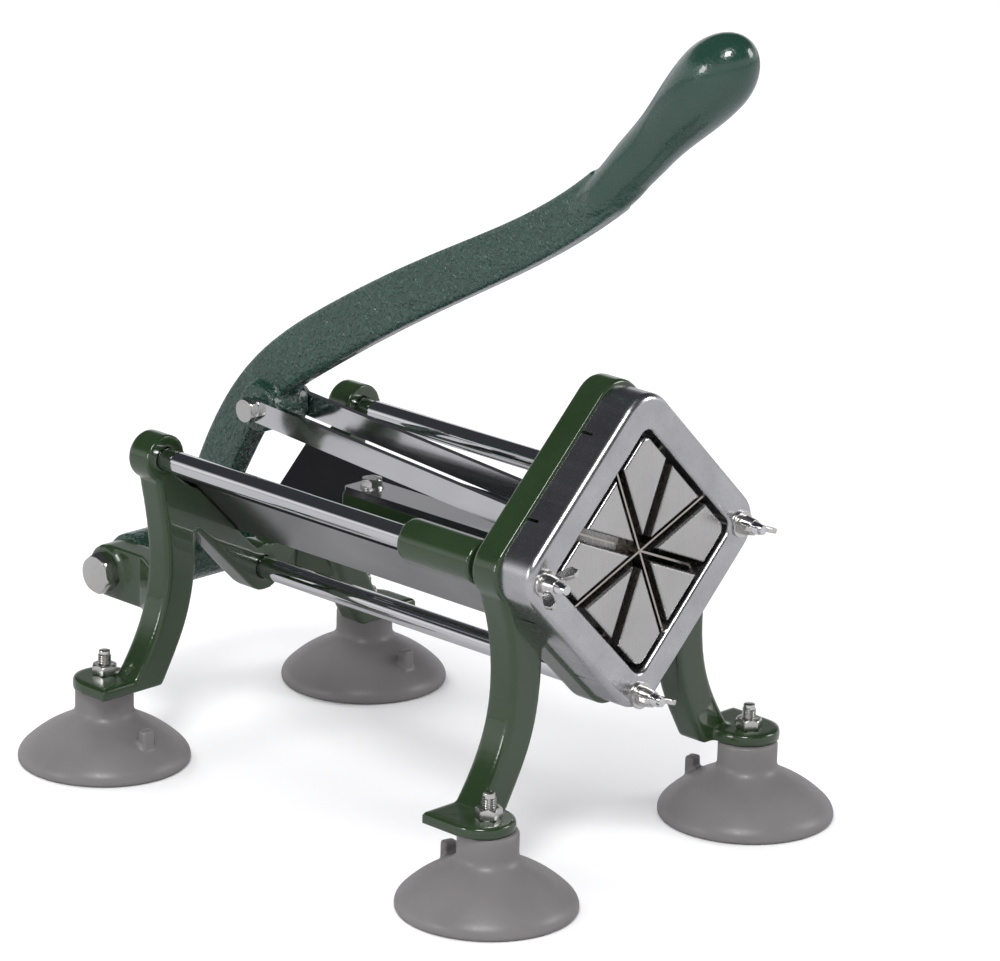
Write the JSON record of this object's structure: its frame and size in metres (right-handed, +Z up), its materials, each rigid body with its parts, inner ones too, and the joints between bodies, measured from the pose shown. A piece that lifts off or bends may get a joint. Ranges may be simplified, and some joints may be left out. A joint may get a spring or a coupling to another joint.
{
  "type": "lever potato wedger",
  "caption": "Bench-top lever vegetable dicer: a lever slides a padded pusher along guide rods through crossed blades in a square frame, on suction-cup feet.",
  "frame": {"origin": "bottom centre of the whole machine's box at rest, on the bench plane", "axes": "+X to the machine's right seen from its front, +Y from the blade frame towards the lever pivot, +Z up"},
  "size_m": [0.2333, 0.3376, 0.3585],
  "materials": {
    "green_paint": "gloss",
    "lever_paint": "satin",
    "cast_aluminium": "polished",
    "chrome_steel": "polished",
    "zinc_steel": "satin",
    "blade_steel": "polished",
    "sheet_steel": "satin",
    "cup_rubber": "matte"
  },
  "bodies": {
    "frame": {"front_casting": "green_paint", "rear_casting": "green_paint", "blade_frame": "cast_aluminium", "blade_front_falling": "blade_steel", "blade_front_rising": "blade_steel", "blade_rear_falling": "blade_steel", "blade_rear_rising": "blade_steel", "tie_rod_left": "chrome_steel", "tie_rod_right": "chrome_steel", "tie_rod_bottom": "chrome_steel", "wing_nut_washers": "zinc_steel", "trough_left": "sheet_steel", "trough_right": "sheet_steel", "pivot_bolt": "zinc_steel", "pivot_nut": "zinc_steel", "foot_screws": "zinc_steel", "foot_nuts": "zinc_steel", "suction_cup_front_left": "cup_rubber", "suction_cup_front_right": "cup_rubber", "suction_cup_rear_left": "cup_rubber", "suction_cup_rear_right": "cup_rubber"},
    "lever": {"lever": "lever_paint"},
    "links": {"link_left": "chrome_steel", "link_right": "chrome_steel", "crank_bolt": "zinc_steel", "crank_nut": "zinc_steel", "pusher_bolt": "zinc_steel", "pusher_nut": "zinc_steel"},
    "pusher": {"pusher_carriage": "green_paint", "pusher_head": "cast_aluminium", "head_screws": "zinc_steel", "carriage_strap": "sheet_steel", "strap_bolt": "zinc_steel"},
    "wing_nut_left": {"wing_nut_left": "zinc_steel"},
    "wing_nut_right": {"wing_nut_right": "zinc_steel"},
    "wing_nut_bottom": {"wing_nut_bottom": "zinc_steel"}
  },
  "joints": [
    {"name": "lever_swing", "type": "hinge", "parent": "frame", "child": "lever", "pos_m": [0, 0.15464, 0.0709], "axis": [-1, 0, 0], "range_deg": [0, 84]},
    {"name": "pusher_slide", "type": "slide", "parent": "frame", "child": "pusher", "axis": [0, 1, 0], "range_m": [0, 0.129]},
    {"name": "link_swing", "type": "hinge", "parent": "lever", "child": "links", "pos_m": [0, 0.09934, 0.151], "axis": [1, 0, 0], "range_deg": [0, 79]},
    {"name": "wing_nut_left_turn", "type": "hinge", "parent": "frame", "child": "wing_nut_left", "pos_m": [-0.059, -0.12116, 0.1364], "axis": [0, -1, 0], "continuous": true},
    {"name": "wing_nut_right_turn", "type": "hinge", "parent": "frame", "child": "wing_nut_right", "pos_m": [0.059, -0.12116, 0.1364], "axis": [0, -1, 0], "continuous": true},
    {"name": "wing_nut_bottom_turn", "type": "hinge", "parent": "frame", "child": "wing_nut_bottom", "pos_m": [0, -0.12116, 0.0749], "axis": [0, -1, 0], "continuous": true}
  ],
  "couplings": [
    {"joint": "pusher_slide", "follows": "lever_swing", "m_per_rad": 0.087803},
    {"joint": "link_swing", "follows": "lever_swing", "ratio": 0.93321}
  ]
}
